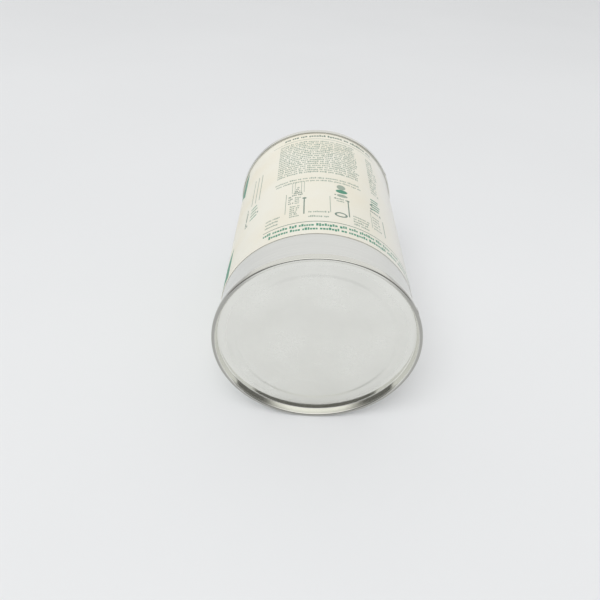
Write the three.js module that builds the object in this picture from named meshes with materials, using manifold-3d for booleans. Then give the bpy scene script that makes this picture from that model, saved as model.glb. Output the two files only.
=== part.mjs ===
// A lever-lid paint tin lying on its side, in millimetres with +Z up: a rolled and welded
// tinplate body, a seamed-on bottom end, a seamed-on lever ring with its friction lid, the
// sealing compound in both seams, and a paper label wrapped round and glued at its lap.
// The tin's axis runs along Y, one seam radius above the surface it lies on. The bottom end
// faces -Y and the lid faces +Y. The origin is on that surface, at mid length.

import * as THREE from 'three';
import { mergeVertices } from 'three/addons/utils/BufferGeometryUtils.js';
import Module from 'manifold-3d';

// Overall size
const SEAM_RADIUS = 38.1; // 3 in across the double seams
const TIN_LENGTH = 112.7; // 4 7/16 in over both seams
const BODY_RADIUS = 36.85; // outside of the rolled body

// Tinplate and double seams. A ply is one thickness of plate in the folded seam.
const PLATE = 0.25;
const PLY_GAP = 0.06;
const SEAM_HEIGHT = 2.9;
const HOOK_LENGTH = 1.7;
const CREST_BEND = 0.4;
const FLARE_LENGTH = 0.6;
const COMPOUND_WIDTH = 0.26;
const COMPOUND_HEIGHT = 0.3;

// Bottom end, with depths measured inwards from the seam's crest to the middle of the plate
const COUNTERSINK_DEPTH = 3.125; // the flat ring round the foot of the chuck wall
const CHUCK_WALL_BEND = 0.5;
const CHUCK_WALL_TAPER = 0.26; // how much narrower the chuck wall is at its foot
const PANEL_DEPTH = 2.825;
const STEP_RADIUS = 29.3;
const STEP_RUN = 2.0;
const CENTRE_DEPTH = 2.9;
const CENTRE_RADIUS = 20.2;
const CENTRE_RUN = 1.2;

// Lever ring and lid
const RING_COUNTERSINK_DEPTH = 3.4;
const RING_COUNTERSINK_RADIUS = 36.3;
const RING_COUNTERSINK_WIDTH = 1.5;
const RING_COUNTERSINK_BEND = 0.65;
const RING_PANEL_DEPTH = 1.7;
const NECK_RADIUS = 29.9;
const NECK_DEPTH = 7.4;
const NECK_CURL = 1.1;
const RING_BEND = 0.5;
const LID_CLEARANCE = 0.05;
const LID_FLANGE_DEPTH = 0.425;
const LID_EDGE_RADIUS = 33.0;
const LID_CURL = 1.0;
const LID_CURL_RISE = 0.5;
const LID_PANEL_DEPTH = 5.6;
const LID_BEAD_RADIUS = 22.5;
const LID_BEAD_RUN = 1.4;
const LID_BEAD_HEIGHT = 0.5;
const LID_BEND = 0.45;
const LID_TRAVEL_CLEAR = PLATE + LID_CLEARANCE;

// Weld along the body: the lapped edges leave a low ridge inside
const WELD_ANGLE = THREE.MathUtils.degToRad(27);
const WELD_WIDTH = 1.4;
const WELD_RISE = 0.12;
const WELD_END_MARGIN = 6.5;

// Paper label
const LABEL_START = 17.4; // bare metal left at the bottom end
const LABEL_END_MARGIN = 3.6; // bare metal left at the lid end
const PAPER = 0.12;
const GLUE = 0.03;
const GLUE_GAP = 0.02;
const LAP_FACETS = 2;
const LAP_TURN = 33; // facet, counted from +X towards +Z, where the lower edge starts
const PICKUP_GLUE_SPAN = [0.2, 1.1];
const LAP_GLUE_SPAN = [0.2, 1.8];

// Every round is a regular polygon whose flats touch the true round, one flat straight down
const FACETS = 36;
const FACET_TURN = (2 * Math.PI) / FACETS;
const TO_CORNER = 1 / Math.cos(FACET_TURN / 2);
const BEND_STEP = THREE.MathUtils.degToRad(46);
const SAME_POINT = 1e-6;

const HALF_LENGTH = TIN_LENGTH / 2;
const SEAM_PLIES = { seamWall: 0, bodyHook: 1, coverHook: 2, bodyWall: 3, chuckWall: 4 };
const HOOK_BEND = PLATE + PLY_GAP;
const COVER_HOOK_FOOT = SEAM_HEIGHT - PLATE / 2;
const COVER_HOOK_TIP = COVER_HOOK_FOOT - HOOK_LENGTH;
const BODY_HOOK_HEAD = 1.5 * PLATE + PLY_GAP;
const BODY_HOOK_TIP = BODY_HOOK_HEAD + HOOK_LENGTH;

const wasm = await Module();
wasm.setup();

const point = ([radius, depth]) => new THREE.Vector2(radius, depth);

// Radius of a seam ply's middle, counted inwards from the seam wall
const ply = (index) => SEAM_RADIUS - PLATE * (index + 0.5) - PLY_GAP * index;

// The arc that rounds one corner of a bent line
function roundCorner(before, corner, after, bend) {
  const back = before.clone().sub(corner).normalize();
  const ahead = after.clone().sub(corner).normalize();
  const turn = Math.PI - back.angleTo(ahead);
  const inwards = back.clone().add(ahead).normalize();
  const centre = corner.clone().addScaledVector(inwards, bend / Math.cos(turn / 2));
  const start = corner.clone().addScaledVector(back, bend * Math.tan(turn / 2));
  const sense = -Math.sign(back.cross(ahead));
  const steps = Math.max(1, Math.round(turn / BEND_STEP));
  const turned = (k) => start.clone().rotateAround(centre, (sense * turn * k) / steps);
  return Array.from({ length: steps + 1 }, (_, k) => turned(k));
}

// The middle line of bent plate through corners given as [radius, depth, bend radius]
function bentLine(corners) {
  const line = corners.flatMap((corner, i) => {
    const bend = corner[2] ?? 0;
    if (bend === 0) return [point(corner)];
    return roundCorner(point(corners[i - 1]), point(corner), point(corners[i + 1]), bend);
  });
  return line.filter((p, i) => i === 0 || p.distanceTo(line[i - 1]) > SAME_POINT);
}

// The outline of plate that follows a middle line, half its thickness on either side
function plateOutline(line) {
  const normals = line.slice(1).map((end, i) => {
    const along = end.clone().sub(line[i]).normalize();
    return new THREE.Vector2(-along.y, along.x);
  });
  const offset = (middle, i, side) => {
    const before = normals[Math.max(i - 1, 0)];
    const after = normals[Math.min(i, normals.length - 1)];
    const mitre = before.clone().add(after).normalize();
    return middle.clone().addScaledVector(mitre, (side * PLATE) / 2 / mitre.dot(before));
  };
  const left = line.map((middle, i) => offset(middle, i, 1));
  const right = line.map((middle, i) => offset(middle, i, -1));
  return [...left, ...right.reverse()];
}

// Turns an outline of (radius, Y) points about the tin's axis
function revolve(outline) {
  const corners = outline.map((p) => new THREE.Vector2(p.x * TO_CORNER, p.y));
  if (THREE.ShapeUtils.area(corners) < 0) corners.reverse();
  if (corners[0].x > 0) corners.push(corners[0].clone());
  return new THREE.LatheGeometry(corners, FACETS, FACET_TURN / 2);
}

const atBottom = (outline) => outline.map((p) => new THREE.Vector2(p.x, p.y - HALF_LENGTH));
const atTop = (outline) => outline.map((p) => new THREE.Vector2(p.x, HALF_LENGTH - p.y));

// From the chuck wall out over the crest and round into the cover hook
function coverSeamCorners() {
  const { seamWall, coverHook, chuckWall } = SEAM_PLIES;
  return [
    [ply(chuckWall), PLATE / 2, CREST_BEND],
    [ply(seamWall), PLATE / 2, CREST_BEND],
    [ply(seamWall), COVER_HOOK_FOOT, HOOK_BEND],
    [ply(coverHook), COVER_HOOK_FOOT, HOOK_BEND],
    [ply(coverHook), COVER_HOOK_TIP],
  ];
}

// The body's flare and its hook over the flange, from the hook's tip down to the plain wall
function bodyHookCorners() {
  const { bodyHook, bodyWall } = SEAM_PLIES;
  return [
    [ply(bodyHook), BODY_HOOK_TIP],
    [ply(bodyHook), BODY_HOOK_HEAD, HOOK_BEND],
    [ply(bodyWall), BODY_HOOK_HEAD, HOOK_BEND],
    [ply(bodyWall), SEAM_HEIGHT],
    [BODY_RADIUS - PLATE / 2, SEAM_HEIGHT + FLARE_LENGTH],
  ];
}

function manifoldFrom(geometry) {
  geometry.deleteAttribute('normal');
  geometry.deleteAttribute('uv');
  const merged = mergeVertices(geometry);
  const vertProperties = Float32Array.from(merged.attributes.position.array);
  const triVerts = Uint32Array.from(merged.index.array);
  return new wasm.Manifold(new wasm.Mesh({ numProp: 3, vertProperties, triVerts }));
}

function geometryFrom(solid) {
  const { vertProperties, triVerts } = solid.getMesh();
  const geometry = new THREE.BufferGeometry();
  geometry.setAttribute('position', new THREE.BufferAttribute(vertProperties, 3));
  geometry.setIndex(new THREE.BufferAttribute(triVerts, 1));
  return geometry;
}

// The rolled body, flared and hooked at both ends, with the weld's ridge inside
function canBody() {
  const hook = bentLine(bodyHookCorners());
  const line = [...atBottom(hook), ...atTop(hook).reverse()];
  const wall = revolve(plateOutline(line));
  const ridge = new THREE.BoxGeometry(
    PLATE / 2 + WELD_RISE,
    TIN_LENGTH - 2 * WELD_END_MARGIN,
    WELD_WIDTH,
  );
  ridge.translate(BODY_RADIUS - PLATE / 2 - (PLATE / 2 + WELD_RISE) / 2, 0, 0);
  ridge.rotateY(-WELD_ANGLE);
  return geometryFrom(manifoldFrom(wall).add(manifoldFrom(ridge)));
}

// The bottom end: slightly sunk centre, raised panel, step down to the countersink, tapered
// chuck wall and seam
function bottomEnd() {
  return revolve(atBottom(plateOutline(bentLine([
    [0, CENTRE_DEPTH],
    [CENTRE_RADIUS - CENTRE_RUN / 2, CENTRE_DEPTH],
    [CENTRE_RADIUS + CENTRE_RUN / 2, PANEL_DEPTH],
    [STEP_RADIUS - STEP_RUN / 2, PANEL_DEPTH],
    [STEP_RADIUS + STEP_RUN / 2, COUNTERSINK_DEPTH],
    [ply(SEAM_PLIES.chuckWall) - CHUCK_WALL_TAPER, COUNTERSINK_DEPTH, CHUCK_WALL_BEND],
    ...coverSeamCorners(),
  ]))));
}

// The lever ring: its neck's curled foot and bore, flat panel, countersink and seam
function leverRing() {
  const countersinkInner = RING_COUNTERSINK_RADIUS - RING_COUNTERSINK_WIDTH;
  return revolve(atTop(plateOutline(bentLine([
    [NECK_RADIUS + NECK_CURL, NECK_DEPTH - NECK_CURL],
    [NECK_RADIUS + NECK_CURL, NECK_DEPTH, RING_BEND],
    [NECK_RADIUS, NECK_DEPTH, RING_BEND],
    [NECK_RADIUS, RING_PANEL_DEPTH, RING_BEND],
    [countersinkInner, RING_PANEL_DEPTH, RING_BEND],
    [countersinkInner, RING_COUNTERSINK_DEPTH, RING_COUNTERSINK_BEND],
    [RING_COUNTERSINK_RADIUS, RING_COUNTERSINK_DEPTH, RING_COUNTERSINK_BEND],
    [ply(SEAM_PLIES.chuckWall), SEAM_HEIGHT],
    ...coverSeamCorners(),
  ]))));
}

// The lid: sunk panel with a stamped bead, plug wall, flange and the curled edge to lever
function leverLid() {
  const plugRadius = NECK_RADIUS - LID_TRAVEL_CLEAR;
  const curlFoot = RING_PANEL_DEPTH - LID_TRAVEL_CLEAR;
  return revolve(atTop(plateOutline(bentLine([
    [0, LID_PANEL_DEPTH],
    [LID_BEAD_RADIUS - LID_BEAD_RUN, LID_PANEL_DEPTH],
    [LID_BEAD_RADIUS, LID_PANEL_DEPTH - LID_BEAD_HEIGHT],
    [LID_BEAD_RADIUS + LID_BEAD_RUN, LID_PANEL_DEPTH],
    [plugRadius, LID_PANEL_DEPTH, LID_BEND],
    [plugRadius, LID_FLANGE_DEPTH, LID_BEND],
    [LID_EDGE_RADIUS, LID_FLANGE_DEPTH, LID_BEND],
    [LID_EDGE_RADIUS, curlFoot, LID_BEND],
    [LID_EDGE_RADIUS - LID_CURL, curlFoot, LID_BEND],
    [LID_EDGE_RADIUS - LID_CURL, curlFoot - LID_CURL_RISE],
  ]))));
}

// The gasket ring in the space between the body's turn and the cover hook's tip
function seamCompound() {
  const middle = ply(SEAM_PLIES.coverHook);
  const foot = COVER_HOOK_TIP - PLY_GAP;
  return [
    [middle - COMPOUND_WIDTH / 2, foot - COMPOUND_HEIGHT],
    [middle + COMPOUND_WIDTH / 2, foot - COMPOUND_HEIGHT],
    [middle + COMPOUND_WIDTH / 2, foot],
    [middle - COMPOUND_WIDTH / 2, foot],
  ].map(point);
}

// A point at a distance from the axis, measured square to the facet that holds the angle.
// Angles here are counted in facets, from +X towards +Z, with flats centred on whole numbers.
function onFacet(distance, facets) {
  const offset = (facets - Math.round(facets)) * FACET_TURN;
  const reach = distance / Math.cos(offset);
  const angle = facets * FACET_TURN;
  return new THREE.Vector2(reach * Math.cos(angle), reach * Math.sin(angle));
}

// A band round the tin through the given stations, each [facets, distance of its inner side]
function wrappedBand(stations, thickness, length) {
  const inner = stations.map(([facets, distance]) => onFacet(distance, facets));
  const outer = stations.map(([facets, distance]) => onFacet(distance + thickness, facets));
  const outline = new THREE.Shape([...outer, ...inner.reverse()]);
  const geometry = new THREE.ExtrudeGeometry(outline, { depth: length, bevelEnabled: false });
  return geometry.rotateX(Math.PI / 2).translate(0, LABEL_START + length - HALF_LENGTH, 0);
}

const LABEL_LENGTH = TIN_LENGTH - LABEL_START - LABEL_END_MARGIN;
const PAPER_INNER = BODY_RADIUS + GLUE + 2 * GLUE_GAP;
const LAP_INNER = PAPER_INNER + PAPER + GLUE + 2 * GLUE_GAP;

// Once round on the body, then over its own first edge
function paperLabel() {
  const stations = Array.from({ length: FACETS + LAP_FACETS + 1 }, (_, i) => [
    LAP_TURN + i + 0.5,
    i < FACETS ? PAPER_INNER : LAP_INNER,
  ]);
  return wrappedBand(stations, PAPER, LABEL_LENGTH);
}

// A strip of glue over part of the facets that the lap covers, at a distance from the axis
function glueStrip([from, to], distance) {
  const corners = Array.from({ length: Math.floor(to) }, (_, i) => i + 1);
  const stations = [from, ...corners, to].map((i) => [LAP_TURN + i + 0.5, distance]);
  return wrappedBand(stations, GLUE, LABEL_LENGTH);
}

const TINPLATE = { color: 0xd2d3ce, roughness: 0.32, metalness: 1 };
const PAPER_LOOK = { color: 0xeae7d8, roughness: 0.6, metalness: 0 };
const COMPOUND = { color: 0x8f8a80, roughness: 0.8, metalness: 0 };
const GLUE_LOOK = { color: 0xd9c9a0, roughness: 0.5, metalness: 0 };

const tin = new THREE.Group();
tin.position.z = SEAM_RADIUS;

function addPiece(name, geometry, look) {
  const piece = new THREE.Mesh(geometry, new THREE.MeshStandardMaterial(look));
  piece.name = name;
  tin.add(piece);
}

addPiece('can_body', canBody(), TINPLATE);
addPiece('bottom_end', bottomEnd(), TINPLATE);
addPiece('bottom_seam_compound', revolve(atBottom(seamCompound())), COMPOUND);
addPiece('lever_ring', leverRing(), TINPLATE);
addPiece('top_seam_compound', revolve(atTop(seamCompound())), COMPOUND);
addPiece('lever_lid', leverLid(), TINPLATE);
addPiece('paper_label', paperLabel(), PAPER_LOOK);
addPiece('label_pickup_glue', glueStrip(PICKUP_GLUE_SPAN, BODY_RADIUS + GLUE_GAP), GLUE_LOOK);
addPiece('label_lap_glue', glueStrip(LAP_GLUE_SPAN, LAP_INNER - GLUE - GLUE_GAP), GLUE_LOOK);

export default tin;
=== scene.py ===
import math
import random

import bmesh
import bpy
from mathutils import Matrix, Vector


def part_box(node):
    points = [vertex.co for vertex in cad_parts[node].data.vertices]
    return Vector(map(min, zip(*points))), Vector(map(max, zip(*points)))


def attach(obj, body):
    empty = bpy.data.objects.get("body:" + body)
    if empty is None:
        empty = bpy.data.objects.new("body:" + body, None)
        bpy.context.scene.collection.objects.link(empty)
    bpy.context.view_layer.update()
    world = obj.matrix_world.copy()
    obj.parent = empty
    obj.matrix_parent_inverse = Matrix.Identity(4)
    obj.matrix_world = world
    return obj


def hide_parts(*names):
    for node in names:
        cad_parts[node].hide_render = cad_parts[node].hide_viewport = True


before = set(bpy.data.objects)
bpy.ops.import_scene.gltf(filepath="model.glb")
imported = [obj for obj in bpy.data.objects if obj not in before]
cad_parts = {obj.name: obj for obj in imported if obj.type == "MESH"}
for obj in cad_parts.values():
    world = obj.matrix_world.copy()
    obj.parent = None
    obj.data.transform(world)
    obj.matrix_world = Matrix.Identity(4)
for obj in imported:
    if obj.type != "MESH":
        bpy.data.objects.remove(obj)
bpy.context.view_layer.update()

# A lever-lid paint tin lying on its side on a pale floor. The tin's axis runs along Y, the
# bottom end faces -Y and the lid faces +Y. Profiles and the label's layout are in
# millimetres; MM turns them into the frame's metres.
MM = 0.001

# Sizes and places read from the frame
BOTTOM_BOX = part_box("bottom_end")
RING_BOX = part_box("lever_ring")
LABEL_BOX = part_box("paper_label")
SEAM_RADIUS = BOTTOM_BOX[1].x / MM
AXIS_Z = SEAM_RADIUS
BOTTOM_Y = BOTTOM_BOX[0].y / MM
TOP_Y = RING_BOX[1].y / MM
TIN_LENGTH = TOP_Y - BOTTOM_Y
PAPER_OUTER = LABEL_BOX[1].z / MM - AXIS_Z
LABEL_START = LABEL_BOX[0].y / MM - BOTTOM_Y
LABEL_END = LABEL_BOX[1].y / MM - BOTTOM_Y
NECK_DEPTH = TOP_Y - RING_BOX[0].y / MM

# Plate, seams and paper, as in the CAD model
PLATE = 0.25
PLY_GAP = 0.06
SEAM_HEIGHT = 2.9
HOOK_LENGTH = 1.7
HOOK_BEND = PLATE + PLY_GAP
CREST_FLAT = 0.08
FLARE_LENGTH = 0.6
FLARE_BEND = 1.0
PAPER = 0.12
GLUE_SPACE = 0.07
BODY_RADIUS = PAPER_OUTER - PAPER - GLUE_SPACE
NECK_RADIUS = 29.9
RING_PANEL_DEPTH = 1.7
LID_CLEARANCE = 0.05

# Fineness of the visual meshes
TURN_STEPS = 288
BEND_STEP = math.radians(11)
SHARP_ANGLE = math.radians(35)
SAME_POINT = 1e-4


# ---------------------------------------------------------------- plate profiles


def ply(index):
    """Radius of a seam ply's middle, counted inwards from the seam wall."""
    return SEAM_RADIUS - PLATE * (index + 0.5) - PLY_GAP * index


SEAM_WALL, BODY_HOOK, COVER_HOOK, BODY_WALL, CHUCK_WALL = (ply(i) for i in range(5))


def turned(point, centre, angle):
    arm = point - centre
    cos, sin = math.cos(angle), math.sin(angle)
    return centre + Vector((arm.x * cos - arm.y * sin, arm.x * sin + arm.y * cos))


def round_corner(before, corner, after, bend):
    """The arc that rounds one corner of a bent line."""
    back = (before - corner).normalized()
    ahead = (after - corner).normalized()
    turn = math.pi - back.angle(ahead)
    centre = corner + (back + ahead).normalized() * bend / math.cos(turn / 2)
    start = corner + back * bend * math.tan(turn / 2)
    sense = -math.copysign(1, back.x * ahead.y - back.y * ahead.x)
    steps = max(3, round(turn / BEND_STEP))
    return [turned(start, centre, sense * turn * k / steps) for k in range(steps + 1)]


def bent_line(corners):
    """The middle line of bent plate through corners (radius, depth, bend radius)."""
    points = [Vector(corner[:2]) for corner in corners]
    line = []
    for i, corner in enumerate(corners):
        if len(corner) < 3:
            arc = [points[i]]
        else:
            arc = round_corner(points[i - 1], points[i], points[i + 1], corner[2])
        line += [p for p in arc if not line or (p - line[-1]).length > SAME_POINT]
    return line


def plate_outline(line):
    """The closed outline of plate that follows a middle line."""
    normals = [(b - a).normalized().orthogonal() for a, b in zip(line, line[1:])]
    befores = normals[:1] + normals
    afters = normals + normals[-1:]
    left, right = [], []
    for middle, before, after in zip(line, befores, afters):
        mitre = (before + after).normalized()
        reach = mitre * PLATE / 2 / mitre.dot(before)
        left.append(middle + reach)
        right.append(middle - reach)
    return left + right[::-1]


def at_bottom(outline):
    return [Vector((p.x, BOTTOM_Y + p.y)) for p in outline]


def at_top(outline):
    return [Vector((p.x, TOP_Y - p.y)) for p in outline]


def cover_seam():
    """From the chuck wall out over the crest and round into the cover hook."""
    crest_bend = (SEAM_WALL - CHUCK_WALL - CREST_FLAT) / 2
    foot = SEAM_HEIGHT - PLATE / 2
    return [
        (CHUCK_WALL, PLATE / 2, crest_bend),
        (SEAM_WALL, PLATE / 2, crest_bend),
        (SEAM_WALL, foot, HOOK_BEND),
        (COVER_HOOK, foot, HOOK_BEND),
        (COVER_HOOK, foot - HOOK_LENGTH),
    ]


def body_hook():
    """The body's hook over the flange, from the hook's tip down to the plain wall."""
    head = 1.5 * PLATE + PLY_GAP
    return [
        (BODY_HOOK, head + HOOK_LENGTH),
        (BODY_HOOK, head, HOOK_BEND),
        (BODY_WALL, head, HOOK_BEND),
        (BODY_WALL, SEAM_HEIGHT, FLARE_BEND),
        (BODY_RADIUS - PLATE / 2, SEAM_HEIGHT + FLARE_LENGTH, FLARE_BEND),
        (BODY_RADIUS - PLATE / 2, SEAM_HEIGHT + 2 * FLARE_LENGTH),
    ]


# ---------------------------------------------------------------- mesh helpers


def new_piece(name, verts, faces, material, body, replaced=()):
    """A mesh piece from vertices in millimetres, riding on a body."""
    mesh = bpy.data.meshes.new(name)
    mesh.from_pydata([Vector(v) * MM for v in verts], [], faces)
    shape = bmesh.new()
    shape.from_mesh(mesh)
    bmesh.ops.recalc_face_normals(shape, faces=shape.faces)
    shape.to_mesh(mesh)
    shape.free()
    mesh.shade_smooth()
    mesh.set_sharp_from_angle(angle=SHARP_ANGLE)
    mesh.materials.append(material)
    piece = bpy.data.objects.new(name, mesh)
    bpy.context.scene.collection.objects.link(piece)
    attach(piece, body)
    if replaced:
        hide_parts(*replaced)
    return piece


def revolve(outline, reshape=None):
    """Turns a closed outline of (radius, Y) points about the tin's axis.
    A first and last point on the axis become one vertex each. reshape(angle, radius, y)
    may return another radius and Y."""
    on_axis = outline[0].x < SAME_POINT
    ring = outline[1:-1] if on_axis else outline
    verts, faces = [], []
    for step in range(TURN_STEPS):
        angle = 2 * math.pi * step / TURN_STEPS
        for p in ring:
            radius, y = reshape(angle, p.x, p.y) if reshape else (p.x, p.y)
            verts.append((radius * math.cos(angle), y, AXIS_Z + radius * math.sin(angle)))
    count = len(ring)
    strips = count - 1 if on_axis else count
    for step in range(TURN_STEPS):
        here, there = step * count, (step + 1) % TURN_STEPS * count
        for i in range(strips):
            j = (i + 1) % count
            faces.append((here + i, here + j, there + j, there + i))
    if on_axis:
        poles = ((outline[0], 0), (outline[-1], count - 1))
        for pole, edge in poles:
            verts.append((0, pole.y, AXIS_Z))
            for step in range(TURN_STEPS):
                here, there = step * count, (step + 1) % TURN_STEPS * count
                faces.append((len(verts) - 1, here + edge, there + edge))
    return verts, faces


# ---------------------------------------------------------------- node materials


def feed(socket, value):
    """Links another node's output to a socket, or sets the socket's own value."""
    if isinstance(value, bpy.types.NodeSocket):
        socket.id_data.links.new(value, socket)
    else:
        socket.default_value = value


class Nodes:
    """A short way to write a node tree: each call adds a node and returns its output."""

    def __init__(self, name):
        self.material = bpy.data.materials.new(name)
        self.material.use_nodes = True
        self.tree = self.material.node_tree
        self.shader = self.tree.nodes["Principled BSDF"]

    def add(self, kind, inputs=None, output=0, **settings):
        node = self.tree.nodes.new(kind)
        for key, value in settings.items():
            setattr(node, key, value)
        for key, value in (inputs or {}).items():
            feed(node.inputs[key], value)
        return node.outputs[output]

    def math(self, operation, a, b=0.0):
        return self.add("ShaderNodeMath", {0: a, 1: b}, operation=operation)

    def remap(self, value, low, high, to_low=0.0, to_high=1.0, smooth=False):
        kind = "SMOOTHSTEP" if smooth else "LINEAR"
        inputs = {0: value, 1: low, 2: high, 3: to_low, 4: to_high}
        return self.add("ShaderNodeMapRange", inputs, interpolation_type=kind)

    def stretched(self, scale):
        """Object coordinates in millimetres, scaled along each axis."""
        place = self.add("ShaderNodeTexCoord", output="Object")
        scaled = tuple(s / MM for s in scale)
        return self.add("ShaderNodeMapping", {"Vector": place, "Scale": scaled})

    def place(self):
        """The X, Y and Z outputs of the object coordinates in millimetres."""
        split = self.tree.nodes.new("ShaderNodeSeparateXYZ")
        self.tree.links.new(self.stretched((1, 1, 1)), split.inputs[0])
        return tuple(split.outputs)

    def noise(self, vector, detail=3.0, roughness=0.5):
        inputs = {"Vector": vector, "Scale": 1.0, "Detail": detail, "Roughness": roughness}
        return self.add("ShaderNodeTexNoise", inputs, output="Fac")

    def mix_colour(self, factor, a, b):
        inputs = {0: factor, 6: a, 7: b}
        return self.add("ShaderNodeMix", inputs, output=2, data_type="RGBA")

    def bump(self, height, distance, normal=None):
        """distance is the height of the relief in millimetres."""
        inputs = {"Height": height, "Distance": distance * MM, "Strength": 1.0}
        if normal is not None:
            inputs["Normal"] = normal
        return self.add("ShaderNodeBump", inputs)

    def set(self, **inputs):
        """Feeds the shader and returns the finished material."""
        for key, value in inputs.items():
            feed(self.shader.inputs[key.replace("_", " ")], value)
        return self.material


def seam_place(nodes):
    """Distance from the tin's axis, depth below the nearer seam's crest and height over the
    axis, all in millimetres."""
    across, along, height = nodes.place()
    up = nodes.math("SUBTRACT", height, AXIS_Z)
    squares = nodes.math("ADD", nodes.math("MULTIPLY", across, across),
                         nodes.math("MULTIPLY", up, up))
    depth = nodes.math("SUBTRACT", TIN_LENGTH / 2, nodes.math("ABSOLUTE", along))
    return nodes.math("SQRT", squares), depth, up


def tinplate_body():
    """Bright plate with the mill's faint grain drawn round the can."""
    nodes = Nodes("tinplate_body")
    streaks = nodes.noise(nodes.stretched((0.05, 3.0, 0.05)), detail=5, roughness=0.6)
    cloud = nodes.noise(nodes.stretched((0.09, 0.14, 0.09)), detail=4)
    tone = nodes.remap(streaks, 0.3, 0.7)
    light, dark = (0.86, 0.865, 0.845, 1), (0.78, 0.785, 0.765, 1)
    colour = nodes.mix_colour(nodes.math("MULTIPLY", tone, 0.6), light, dark)
    rough = nodes.math("ADD", nodes.remap(streaks, 0.3, 0.7, 0.38, 0.47),
                       nodes.remap(cloud, 0.3, 0.7, -0.03, 0.04))
    normal = nodes.bump(streaks, 0.006)
    normal = nodes.bump(cloud, 0.05, normal=normal)
    return nodes.set(Base_Color=colour, Metallic=1.0, Roughness=rough, Normal=normal)


def tinplate_end():
    """Satin stamped plate, burnished by the seaming rolls. Painted shade darkens the plate
    towards the chuck wall, and the crest everywhere but at the top of the lying tin, standing
    in for the shaded floor that the crest mirrors."""
    nodes = Nodes("tinplate_end")
    radius, depth, up = seam_place(nodes)
    grain = nodes.noise(nodes.stretched((0.5, 0.5, 9.0)), detail=4, roughness=0.6)
    speck = nodes.noise(nodes.stretched((2.2, 2.2, 2.2)), detail=3)
    cloud = nodes.noise(nodes.stretched((0.07, 0.07, 0.07)), detail=4)
    from_wall = nodes.math("SUBTRACT", radius, CHUCK_WALL)
    rolled = nodes.remap(from_wall, -4.0, -2.0, smooth=True)
    on_top = nodes.remap(depth, 2.0, 1.2, smooth=True)
    outer_side = nodes.remap(from_wall, 0.0, 0.35)
    # Painted shade on the crest, left off near the top of the lying tin, which keeps its
    # highlight.
    shade_away_from_top = nodes.remap(up, 34, 24, smooth=True)
    crest = nodes.math("MULTIPLY", shade_away_from_top, nodes.math("MULTIPLY", on_top, outer_side))
    # Painted shade in the recess: the plate is darkened towards the chuck wall.
    recess_shade = nodes.remap(from_wall, -1.4, -0.3, 0, 0.2)
    satin = nodes.math("ADD", nodes.remap(grain, 0.3, 0.7, 0.27, 0.34),
                       nodes.remap(cloud, 0.3, 0.7, -0.03, 0.03))
    shiny = nodes.remap(speck, 0.3, 0.7, 0.09, 0.14)
    rough = nodes.add("ShaderNodeMix", {0: rolled, 2: satin, 3: shiny})
    light, dark = (0.87, 0.87, 0.825, 1), (0.83, 0.83, 0.785, 1)
    colour = nodes.mix_colour(nodes.remap(cloud, 0.3, 0.7), light, dark)
    colour = nodes.mix_colour(recess_shade, colour, (0.56, 0.555, 0.49, 1))
    # The crest's painted shade: dark plate colour standing in for the shaded floor it
    # mirrors.
    crest_shade_colour = nodes.mix_colour(speck, (0.49, 0.485, 0.46, 1), (0.40, 0.395, 0.37, 1))
    colour = nodes.mix_colour(crest, colour, crest_shade_colour)
    normal = nodes.bump(grain, 0.0006)
    normal = nodes.bump(cloud, 0.10, normal=normal)
    return nodes.set(Base_Color=colour, Metallic=1.0, Roughness=rough, Normal=normal)


def paler_towards_plus_x(nodes):
    """How much paler the label and its ink are drawn, most on their +X side."""
    across, _, _ = nodes.place()
    return nodes.remap(across, 16, 34, 0, 0.8, smooth=True)


def label_paper():
    """Cream label stock with a faint mottle and the tooth of its fibres."""
    nodes = Nodes("label_paper")
    cloud = nodes.noise(nodes.stretched((0.06, 0.06, 0.06)), detail=4)
    fibres = nodes.noise(nodes.stretched((4, 1.6, 4)), detail=4, roughness=0.6)
    warm, cool = (0.83, 0.795, 0.675, 1), (0.84, 0.825, 0.735, 1)
    pale_side, fibre_shade = (0.88, 0.88, 0.86, 1), (0.7, 0.68, 0.6, 1)
    colour = nodes.mix_colour(nodes.remap(cloud, 0.35, 0.65), warm, cool)
    # The paper is drawn paler towards its +X side.
    colour = nodes.mix_colour(paler_towards_plus_x(nodes), colour, pale_side)
    shaded = nodes.remap(fibres, 0.3, 0.7, 0, 0.12)
    colour = nodes.mix_colour(shaded, colour, fibre_shade)
    rough = nodes.remap(fibres, 0.3, 0.7, 0.46, 0.58)
    normal = nodes.bump(fibres, 0.01)
    normal = nodes.bump(cloud, 0.12, normal=normal)
    return nodes.set(Base_Color=colour, Roughness=rough, Normal=normal)


def printing_ink(name, full, thin):
    """Ink that lies unevenly on the paper's tooth, between a full and a thin colour."""
    nodes = Nodes(name)
    tooth = nodes.noise(nodes.stretched((5, 5, 5)), detail=3)
    cloud = nodes.noise(nodes.stretched((0.12, 0.12, 0.12)), detail=3)
    patchy = nodes.math("MULTIPLY", nodes.remap(tooth, 0.35, 0.7),
                        nodes.remap(cloud, 0.2, 0.8))
    colour = nodes.mix_colour(patchy, full, thin)
    # The ink is drawn paler towards +X, as the paper is.
    pale_side = nodes.math("MULTIPLY", paler_towards_plus_x(nodes), 0.7)
    colour = nodes.mix_colour(pale_side, colour, (0.72, 0.74, 0.70, 1))
    rough = nodes.remap(tooth, 0.3, 0.7, 0.38, 0.55)
    return nodes.set(Base_Color=colour, Roughness=rough, Normal=nodes.bump(tooth, 0.006))


def plain_filler(name, light, dark, roughness):
    """Dried compound or glue: lumpy and slightly uneven in colour."""
    nodes = Nodes(name)
    lumps = nodes.noise(nodes.stretched((1.4, 0.5, 1.4)), detail=4)
    colour = nodes.mix_colour(nodes.remap(lumps, 0.3, 0.7), light, dark)
    rough = nodes.remap(lumps, 0.3, 0.7, roughness - 0.08, roughness + 0.08)
    return nodes.set(Base_Color=colour, Roughness=rough, Normal=nodes.bump(lumps, 0.02))


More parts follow.
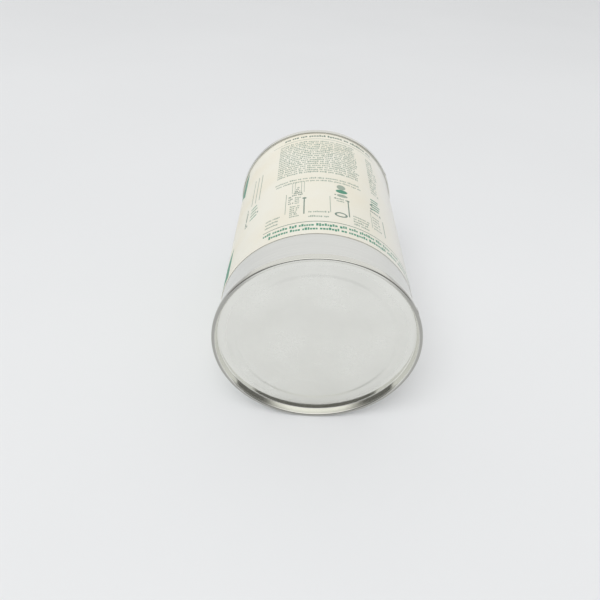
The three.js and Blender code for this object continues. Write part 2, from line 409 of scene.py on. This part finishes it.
def floor_surface():
    """Matte white board with a very faint unevenness."""
    nodes = Nodes("floor_board")
    cloud = nodes.noise(nodes.stretched((0.004, 0.004, 0.004)), detail=3)
    light, dark = (0.83, 0.84, 0.85, 1), (0.81, 0.82, 0.83, 1)
    colour = nodes.mix_colour(nodes.remap(cloud, 0.3, 0.7), light, dark)
    return nodes.set(Base_Color=colour, Roughness=0.7, Specular_IOR_Level=0.2)


# ---------------------------------------------------------------- tinplate pieces

WELD_ANGLE = math.radians(27)
WELD_WIDTH = 1.4
WELD_OUT = 0.045
WELD_IN = 0.12
CROSSOVER_WIDTH = 2.6
CROSSOVER_SWELL = 0.25


def near_weld(angle, width):
    """1 on the weld's line, falling smoothly to 0 half a width to either side."""
    off = math.remainder(angle - WELD_ANGLE, 2 * math.pi) * BODY_RADIUS
    return max(0.0, 1 - (2 * off / width) ** 2) ** 2


def welded(angle, radius, y):
    """The body's plate stands out a little along the lapped weld, more inside than out."""
    plain = min(y - BOTTOM_Y, TOP_Y - y) > SEAM_HEIGHT
    if not plain:
        return radius, y
    ridge = near_weld(angle, WELD_WIDTH)
    outside = radius > BODY_RADIUS - PLATE / 2
    return radius + ridge * (WELD_OUT if outside else -WELD_IN), y


def crossover(angle, radius, y):
    """The seam swells a little where it folds over the body's doubled weld."""
    if radius < BODY_HOOK:
        return radius, y
    return radius + CROSSOVER_SWELL * near_weld(angle, CROSSOVER_WIDTH), y


def make_body(material):
    hook = bent_line(body_hook())
    line = at_bottom(hook) + at_top(hook)[::-1]
    verts, faces = revolve(plate_outline(line), welded)
    return new_piece("rolled_body", verts, faces, material, "tin",
                     ["can_body"])


def make_bottom_end(material):
    """Slightly sunk centre, raised panel, step down to the countersink, tapered chuck wall
    and seam."""
    centre, panel, countersink = 2.93, 2.825, 3.125
    dish_inner, dish_outer, dish_bend = 19.6, 20.8, 4.0
    step_inner, step_outer, step_bend = 28.7, 29.9, 2.5
    wall_taper, wall_bend = 0.26, 0.5
    line = bent_line([
        (0, centre),
        (dish_inner, centre, dish_bend),
        (dish_outer, panel, dish_bend),
        (step_inner, panel, step_bend),
        (step_outer, countersink, step_bend),
        (CHUCK_WALL - wall_taper, countersink, wall_bend),
        *cover_seam(),
    ])
    verts, faces = revolve(at_bottom(plate_outline(line)), crossover)
    return new_piece("stamped_bottom", verts, faces, material, "tin",
                     ["bottom_end"])


def make_lever_ring(material):
    """Neck with its curled foot, flat panel, countersink and seam."""
    countersink, curl = 3.4, 1.1
    groove_inner, groove_outer = 34.8, 36.3
    bend, groove_bend, wall_bend = 0.5, 0.7, 0.8
    foot = NECK_DEPTH - PLATE / 2
    line = bent_line([
        (NECK_RADIUS + curl, foot - curl),
        (NECK_RADIUS + curl, foot, bend),
        (NECK_RADIUS, foot, bend),
        (NECK_RADIUS, RING_PANEL_DEPTH, bend),
        (groove_inner, RING_PANEL_DEPTH, bend),
        (groove_inner, countersink, groove_bend),
        (groove_outer, countersink, groove_bend),
        (CHUCK_WALL, SEAM_HEIGHT, wall_bend),
        *cover_seam(),
    ])
    verts, faces = revolve(at_top(plate_outline(line)), crossover)
    return new_piece("seamed_lever_ring", verts, faces, material, "tin",
                     ["lever_ring"])


def make_lid(material):
    """Sunk panel with stamped rings, plug wall, flange and curled edge."""
    panel, flange, edge, bend = 5.6, 0.425, 33.0, 0.45
    plug = NECK_RADIUS - PLATE - LID_CLEARANCE
    curl, curl_tip = 1.0, 0.5
    curl_foot = RING_PANEL_DEPTH - PLATE - LID_CLEARANCE
    bead, bead_run, bead_rise, bead_bend = 22.5, 1.4, 0.5, 1.2
    line = bent_line([
        (0, panel),
        (bead - bead_run, panel, bead_bend),
        (bead, panel - bead_rise, bead_bend),
        (bead + bead_run, panel, bead_bend),
        (plug, panel, bend),
        (plug, flange, bend),
        (edge, flange, bend),
        (edge, curl_foot, bend),
        (edge - curl, curl_foot, bend),
        (edge - curl, curl_foot - curl_tip),
    ])
    verts, faces = revolve(at_top(plate_outline(line)))
    return new_piece("plug_lid", verts, faces, material, "lid",
                     ["lever_lid"])


# ---------------------------------------------------------------- paper label

LAP_START = math.radians(-25)
LAP_TURN = math.radians(20)
LAP_LIFT = 0.19
LAP_EASE = math.radians(8)
LABEL_STEPS = 320
LABEL_GAP = 0.08
LABEL_LIFT = 0.27


def on_tin(angle, radius, along):
    """A point by angle from +X towards +Z, radius, and distance from the foot."""
    return (radius * math.cos(angle), BOTTOM_Y + along, AXIS_Z + radius * math.sin(angle))


def paper_radius(turn):
    """The paper's outer radius at a turn from its first edge, raised over its own lap."""
    rise = (turn - (2 * math.pi - LAP_EASE)) / LAP_EASE
    rise = min(1.0, max(0.0, rise))
    return PAPER_OUTER + LAP_LIFT * rise * rise * (3 - 2 * rise)


def band_mesh(stations, lows, highs, thickness):
    """A closed curved slab. stations are (angle, outer radius); lows and highs are each
    station's ends, as distances from the foot."""
    verts, faces = [], []
    for (angle, radius), low, high in zip(stations, lows, highs):
        verts += [
            on_tin(angle, radius, low),
            on_tin(angle, radius, high),
            on_tin(angle, radius - thickness, high),
            on_tin(angle, radius - thickness, low),
        ]
    for i in range(len(stations) - 1):
        here, there = 4 * i, 4 * i + 4
        for k in range(4):
            n = (k + 1) % 4
            faces.append((here + k, here + n, there + n, there + k))
    end = 4 * (len(stations) - 1)
    faces += [(0, 1, 2, 3), (end, end + 1, end + 2, end + 3)]
    return verts, faces


def make_label(material):
    """The wrapped paper. Its far edge rides up the body's flare to the foot of the seam."""
    edge = TIN_LENGTH - SEAM_HEIGHT - LABEL_GAP
    line = [(LABEL_START, 0), (LABEL_END, 0), (edge, LABEL_LIFT)]
    section = line + [(along, rise - PAPER) for along, rise in reversed(line)]
    count = len(section)
    last = LABEL_STEPS * count
    verts, faces = [], [tuple(range(count)), tuple(range(last, last + count))]
    for step in range(LABEL_STEPS + 1):
        turn = (2 * math.pi + LAP_TURN) * step / LABEL_STEPS
        radius = paper_radius(turn)
        angle = LAP_START + turn
        verts += [on_tin(angle, radius + rise, along) for along, rise in section]
    for here in range(0, last, count):
        for i in range(count):
            j = (i + 1) % count
            faces.append((here + i, here + j, here + count + j, here + count + i))
    return new_piece("wrapped_label", verts, faces, material, "tin",
                     ["paper_label"])


# ---------------------------------------------------------------- printing on the label
# Places are millimetres round the paper from the top of the tin, growing towards +X, and
# millimetres from the foot. Text is only suggested, by rows of short plain dashes.

INK = 0.02
INK_RISE = 0.012
INK_STEP = 1.5
SLIVER = 0.01

# How a row of text is suggested, with lengths in letter heights
WORD_LETTERS = (2, 8)
LETTER_WIDTH = (0.45, 0.8)
LETTER_GAP = 0.2
WORD_GAP = 0.55
TAIL_SHARE, TAIL_DROP = 0.12, 0.28
STEM_SHARE, STEM_HEIGHT = 0.22, 1.45


def refined(rows):
    """Adds stations between rows of (place, low, high) so that the ink follows the curve."""
    fine = rows[:1]
    for a, b in zip(rows, rows[1:]):
        steps = max(1, math.ceil((b[0] - a[0]) / INK_STEP))
        for k in range(1, steps + 1):
            fine.append(tuple(p + (q - p) * k / steps for p, q in zip(a, b)))
    return fine


def half_turn(steps):
    """Angles from 0 to half a turn in equal steps."""
    return [math.pi * i / steps for i in range(steps + 1)]


class Printing:
    """Collects slabs of ink into one mesh."""

    def __init__(self):
        self.verts = []
        self.faces = []

    def area(self, places, lows, highs):
        places, lows, highs = zip(*refined(list(zip(places, lows, highs))))
        stations = [(math.pi / 2 - s / PAPER_OUTER, PAPER_OUTER + INK_RISE) for s in places]
        verts, faces = band_mesh(stations, lows, highs, INK)
        base = len(self.verts)
        self.verts += verts
        self.faces += [tuple(base + i for i in face) for face in faces]

    def bar(self, left, right, low, high):
        self.area([left, right], [low, low], [high, high])

    def slant(self, left, right, low, height, lean):
        self.area([left, right], [low, low + lean], [low + height, low + height + lean])

    def disc(self, middle, height, across, up):
        """A filled ellipse of half sizes across and up."""
        turns = half_turn(24)
        places = [middle - across * math.cos(t) for t in turns]
        halves = [max(up * math.sin(t), SLIVER) for t in turns]
        self.area(places, [height - h for h in halves], [height + h for h in halves])

    def ring(self, middle, height, across, up, line, steps=28):
        """The outline of an ellipse, as an upper and a lower arc."""
        turns = half_turn(steps)
        places = [middle - across * math.cos(t) for t in turns]
        outer = [max(up * math.sin(t), 2 * SLIVER) for t in turns]
        inner = []
        for s in places:
            inside = 1 - ((s - middle) / (across - line)) ** 2
            inner.append((up - line) * math.sqrt(inside) if inside > 0 else SLIVER)
        self.area(places, [height + i for i in inner], [height + o for o in outer])
        self.area(places, [height - o for o in outer], [height - i for i in inner])

    def box(self, left, right, low, high, line):
        self.bar(left, right, low, low + line)
        self.bar(left, right, high - line, high)
        self.bar(left, left + line, low + line, high - line)
        self.bar(right - line, right, low + line, high - line)

    def text(self, draw, left, right, height, size, ragged=0.0):
        """One row of dashes for a row of text, with gaps between its words."""
        place = left
        stop = right - draw.uniform(0, ragged)
        while place < stop:
            for _ in range(draw.randint(*WORD_LETTERS)):
                width = size * draw.uniform(*LETTER_WIDTH)
                if place + width > stop:
                    return
                low = height - (size * TAIL_DROP if draw.random() < TAIL_SHARE else 0)
                high = height + size * (STEM_HEIGHT if draw.random() < STEM_SHARE else 1)
                self.bar(place, place + width, low, high)
                place += width + size * LETTER_GAP
            place += size * WORD_GAP

    def paragraph(self, draw, left, right, top, bottom, rows, size):
        pitch = (top - bottom) / (rows - 1)
        for row in range(rows):
            self.text(draw, left, right, top - row * pitch - size / 2, size, ragged=1.5)

    def piece(self, name, material):
        return new_piece(name, self.verts, self.faces, material, "tin")


class Label:
    """The label's printing in three inks."""

    def __init__(self):
        self.fine, self.green, self.pale = Printing(), Printing(), Printing()
        self.draw = random.Random(7)


def print_upper_panel(label):
    """The panel that faces up: a heading, a block of text, captions and two rows of print."""
    fine, pale, draw = label.fine, label.pale, label.draw
    fine.text(draw, -17, 27, 106.3, 1.4)
    pale.bar(-23, 28, 103.4, 103.8)
    pale.paragraph(draw, -19, 17.5, 100.6, 67.5, 17, 0.95)
    pale.text(draw, -19.5, 17, 60.9, 0.9)
    pale.text(draw, -19, 17, 58.6, 0.8)
    pale.paragraph(draw, -22, -14.6, 33.4, 28.6, 3, 0.8)
    pale.paragraph(draw, -5, 2.8, 32.8, 29.4, 2, 0.8)
    pale.paragraph(draw, 12, 19.4, 34.0, 28.2, 4, 0.8)
    fine.bar(-22.6, 56, 25.5, 25.9)
    label.green.text(draw, -22.4, 56, 22.6, 1.15)
    label.green.text(draw, -19.8, 56, 19.9, 1.15)


def print_left_picture(label):
    """Rows of dashes piled to a point between upright lines, over a faint base."""
    fine, pale, draw = label.fine, label.pale, label.draw
    for side in (-11.7, -10.6, -8.0, -6.9):
        pale.bar(side, side + 0.2, 49.5, 59.0)
    for height, half in ((53.4, 0.5), (51.9, 0.9), (50.4, 1.3), (48.9, 1.8), (47.4, 2.4)):
        fine.text(draw, -9.2 - half, -9.2 + half, height, 0.75)
    fine.paragraph(draw, -13.0, -10.6, 46.6, 41.4, 4, 0.7)
    pale.paragraph(draw, -10.4, -7.4, 45.4, 41.0, 4, 0.7)
    pale.paragraph(draw, -12.2, -7.6, 38.6, 31.0, 6, 0.8)
    fine.bar(-6.9, -6.45, 31.8, 43.4)
    fine.disc(-6.6, 44.2, 0.8, 0.7)
    pale.bar(-14.1, -13.85, 34, 50)


def print_middle_picture(label):
    """Three filled lenses over a flat ring, with an upright line on each side."""
    fine, green, pale, draw = label.fine, label.green, label.pale, label.draw
    pale.disc(8.0, 55.0, 1.8, 2.1)
    green.disc(8.1, 51.4, 2.4, 1.5)
    pale.disc(8.2, 47.8, 2.2, 1.2)
    fine.disc(5.4, 48.0, 0.35, 0.4)
    fine.disc(5.3, 45.0, 0.4, 0.5)
    pale.text(draw, 5.8, 10.0, 44.4, 0.8)
    pale.text(draw, 5.8, 9.6, 42.6, 0.8)
    fine.ring(7.2, 32.3, 2.5, 1.8, 0.75)
    fine.bar(10.2, 10.65, 32.2, 44.4)
    fine.disc(10.4, 44.6, 0.7, 0.6)
    pale.bar(3.1, 3.35, 33, 46)


def print_right_picture(label):
    """Green hatching over an open box."""
    fine, green, pale, draw = label.fine, label.green, label.pale, label.draw
    for row in range(5):
        green.slant(21.6, 25.4 + 0.5 * (row % 3), 47.6 + 2.1 * row, 1.0, 0.9)
    fine.disc(21.4, 51.2, 0.6, 0.9)
    fine.disc(21.2, 47.8, 0.6, 0.9)
    fine.text(draw, 20.4, 26.5, 45.0, 1.0)
    fine.bar(26.6, 27.0, 31.4, 43.4)
    pale.bar(20.2, 20.45, 32, 44)
    pale.paragraph(draw, 21, 26, 41.0, 32.4, 5, 0.8)


def print_side_panels(label):
    """A narrow text column to the right, and upright lines and marks to the left."""
    fine, green, pale, draw = label.fine, label.green, label.pale, label.draw
    pale.paragraph(draw, 22.8, 28.4, 98.0, 64.0, 15, 1.1)
    pale.box(43.5, 60, 31.0, 56.0, 0.25)
    for row in range(4):
        pale.bar(43.7, 59.8, 36.0 + 5 * row, 36.2 + 5 * row)
        pale.text(draw, 44.4, 51, 37.4 + 5 * row, 0.9, ragged=3)
        pale.text(draw, 53, 59, 37.4 + 5 * row, 0.9, ragged=3)
    for side in (-32.5, -30.2, -28.0):
        pale.bar(side, side + 0.4, 58.8, 83.0)
    for row in range(4):
        green.slant(-31.8, -28.0 - 0.5 * (row % 2), 45.6 + 2.8 * row, 0.8, 0.9)
    fine.disc(-27.6, 48.6, 0.4, 0.7)
    fine.paragraph(draw, -34.6, -32.4, 57.0, 43.5, 9, 1.0)


def print_front(label):
    """The front: a green field round a plain pale disc with a generic drop on it."""
    green, pale = label.green, label.pale
    middle, height, half, cut = -74.4, 61.2, 32.0, 38.9
    low_edge, high_edge = LABEL_START + 1.6, LABEL_END - 0.1
    steps = 64
    places = [middle - half + 2 * half * i / steps for i in range(steps + 1)]
    cuts = [math.sqrt(cut ** 2 - (s - middle) ** 2) for s in places]
    count = len(places)
    green.area(places, [low_edge] * count, [height - c for c in cuts])
    green.area(places, [height + c for c in cuts], [high_edge] * count)
    green.ring(middle, height, 25.0, 25.0, 0.8, 72)
    drop_half, drop_tip, drop_waist, drop_foot = 7.5, 14.0, 0.8, height + 1
    turns = half_turn(40)
    across = [middle - drop_half * math.cos(t) for t in turns]
    lows = [drop_foot - max(drop_half * math.sin(t), 2 * SLIVER) for t in turns]
    highs = [drop_foot + 2 * SLIVER + drop_tip * (1 - abs(math.cos(t))) ** drop_waist
             for t in turns]
    green.area(across, lows, highs)
    for width, low in ((22, -13), (16, -16)):
        pale.bar(middle - width / 2, middle + width / 2, height + low, height + low + 0.9)


def make_print():
    label = Label()
    print_upper_panel(label)
    print_left_picture(label)
    print_middle_picture(label)
    print_right_picture(label)
    print_side_panels(label)
    print_front(label)
    label.fine.piece("label_fine_print", printing_ink(
        "fine_ink", (0.14, 0.21, 0.17, 1), (0.27, 0.35, 0.29, 1)))
    label.green.piece("label_green_print", printing_ink(
        "green_ink", (0.05, 0.25, 0.16, 1), (0.12, 0.35, 0.24, 1)))
    label.pale.piece("label_pale_print", printing_ink(
        "pale_ink", (0.31, 0.38, 0.31, 1), (0.41, 0.48, 0.40, 1)))


# ---------------------------------------------------------------- stage

KEY_PLACE = (-0.65, -2.1, 3.1)
KEY_SIZE = 3.2
KEY_POWER = 92.0
FLOOR_REACH = 6000.0

# Brightness of the room's parts in the mirror images, and of its diffuse light
ROOM_BEHIND = 0.83
ROOM_OVERHEAD = 0.72
ROOM_DARK = 0.16
ROOM_WINDOW = 1.2
ROOM_BELOW = 0.5
ROOM_FILL = 0.535

# Where one part of the room gives way to the next, along a direction's Y or Z
FRONT_EDGE_Y = (-0.25, -0.05)
OVERHEAD_EDGE_Y = (0.15, 0.7)
WINDOW_FOOT_Z = (0.5, 0.85)
HORIZON_Z = (-0.1, 0.1)


def make_floor(material):
    far = FLOOR_REACH
    corners = [(-far, -far, 0), (far, -far, 0), (far, far, 0), (-far, far, 0)]
    mesh = bpy.data.meshes.new("floor")
    mesh.from_pydata([Vector(c) * MM for c in corners], [], [(0, 1, 2, 3)])
    mesh.materials.append(material)
    floor = bpy.data.objects.new("floor", mesh)
    bpy.context.scene.collection.objects.link(floor)


def make_key():
    """A large soft light overhead and in front, left out of the mirror images."""
    data = bpy.data.lights.new("key", "AREA")
    data.shape = "DISK"
    data.size = KEY_SIZE
    data.energy = KEY_POWER
    lamp = bpy.data.objects.new("key", data)
    lamp.location = KEY_PLACE
    lamp.rotation_euler = Vector(KEY_PLACE).to_track_quat("Z", "Y").to_euler()
    lamp.visible_glossy = False
    bpy.context.scene.collection.objects.link(lamp)


def make_world():
    """A pale studio: bright behind, dark low in front, with a brighter window above that."""
    world = bpy.data.worlds.new("studio")
    bpy.context.scene.world = world
    world.use_nodes = True
    tree = world.node_tree
    tree.nodes.clear()
    add, link = tree.nodes.new, tree.links.new

    def ramp(source, limits, to_low, to_high):
        node = add("ShaderNodeMapRange")
        node.interpolation_type = "SMOOTHSTEP"
        for index, value in enumerate((source, *limits, to_low, to_high)):
            feed(node.inputs[index], value)
        return node.outputs[0]

    def product(a, b):
        node = add("ShaderNodeMath")
        node.operation = "MULTIPLY"
        link(a, node.inputs[0])
        link(b, node.inputs[1])
        return node.outputs[0]

    place = add("ShaderNodeTexCoord")
    split = add("ShaderNodeSeparateXYZ")
    link(place.outputs["Generated"], split.inputs[0])
    along, up = split.outputs["Y"], split.outputs["Z"]
    in_front = ramp(along, FRONT_EDGE_Y, 1.0, 0.0)
    not_front = ramp(along, FRONT_EDGE_Y, 0.0, 1.0)
    front = ramp(up, WINDOW_FOOT_Z, ROOM_DARK, ROOM_WINDOW)
    high_back = ramp(along, OVERHEAD_EDGE_Y, ROOM_OVERHEAD, ROOM_BEHIND)
    back = product(high_back, ramp(up, HORIZON_Z, ROOM_BELOW, 1.0))
    strength = add("ShaderNodeMath")
    link(product(in_front, front), strength.inputs[0])
    link(product(not_front, back), strength.inputs[1])
    ray = add("ShaderNodeLightPath")

    def background(colour, level):
        node = add("ShaderNodeBackground")
        feed(node.inputs["Color"], colour)
        feed(node.inputs["Strength"], level)
        return node.outputs[0]

    def chosen(kind, if_not, if_so):
        node = add("ShaderNodeMixShader")
        link(ray.outputs[kind], node.inputs[0])
        link(if_not, node.inputs[1])
        link(if_so, node.inputs[2])
        return node.outputs[0]

    mirrored = background((1.0, 1.0, 0.985, 1), strength.outputs[0])
    lighting = background((1.0, 1.0, 1.0, 1), ROOM_FILL)
    seen = background((0.78, 0.79, 0.79, 1), 1.0)
    surface = chosen("Is Camera Ray", chosen("Diffuse Depth", mirrored, lighting), seen)
    link(surface, add("ShaderNodeOutputWorld").inputs["Surface"])


# The camera stands before the bottom end, looking down; distances are in seam radii.
CAMERA_SIDE = -0.2176
CAMERA_BACK = 3.9142
CAMERA_HEIGHT = 4.5521
CAMERA_PITCH = math.radians(37.5)
CAMERA_YAW = math.radians(0.57)
CAMERA_ROLL = math.radians(2.81)
CAMERA_LENS = 33.33
CAMERA_SENSOR = 36.0
CAMERA_CLIP = (0.01, 50.0)


def make_camera():
    data = bpy.data.cameras.new("camera")
    data.lens = CAMERA_LENS
    data.sensor_width = CAMERA_SENSOR
    data.clip_start, data.clip_end = CAMERA_CLIP
    camera = bpy.data.objects.new("camera", data)
    place = Vector((CAMERA_SIDE * SEAM_RADIUS, BOTTOM_Y - CAMERA_BACK * SEAM_RADIUS,
                    CAMERA_HEIGHT * SEAM_RADIUS)) * MM
    turn = Matrix.Rotation(-CAMERA_YAW, 4, "Z")
    tilt = Matrix.Rotation(math.pi / 2 - CAMERA_PITCH, 4, "X")
    roll = Matrix.Rotation(CAMERA_ROLL, 4, "Z")
    camera.matrix_world = Matrix.Translation(place) @ turn @ tilt @ roll
    bpy.context.scene.collection.objects.link(camera)
    bpy.context.scene.camera = camera


# ---------------------------------------------------------------- assembly


def finish_hidden_nodes():
    """The compound and glue keep their CAD shapes and take their own materials."""
    compound = plain_filler(
        "seam_compound", (0.36, 0.34, 0.30, 1), (0.27, 0.25, 0.22, 1), 0.7)
    glue = plain_filler(
        "label_glue", (0.72, 0.62, 0.42, 1), (0.60, 0.50, 0.32, 1), 0.4)
    fillings = {
        "bottom_seam_compound": compound,
        "top_seam_compound": compound,
        "label_pickup_glue": glue,
        "label_lap_glue": glue,
    }
    for node, material in fillings.items():
        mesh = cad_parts[node].data
        mesh.materials.clear()
        mesh.materials.append(material)


bpy.context.scene.view_settings.view_transform = "Standard"
make_camera()
make_floor(floor_surface())
make_world()
make_key()
make_body(tinplate_body())
end_plate = tinplate_end()
make_bottom_end(end_plate)
make_lever_ring(end_plate)
make_lid(end_plate)
make_label(label_paper())
make_print()
finish_hidden_nodes()
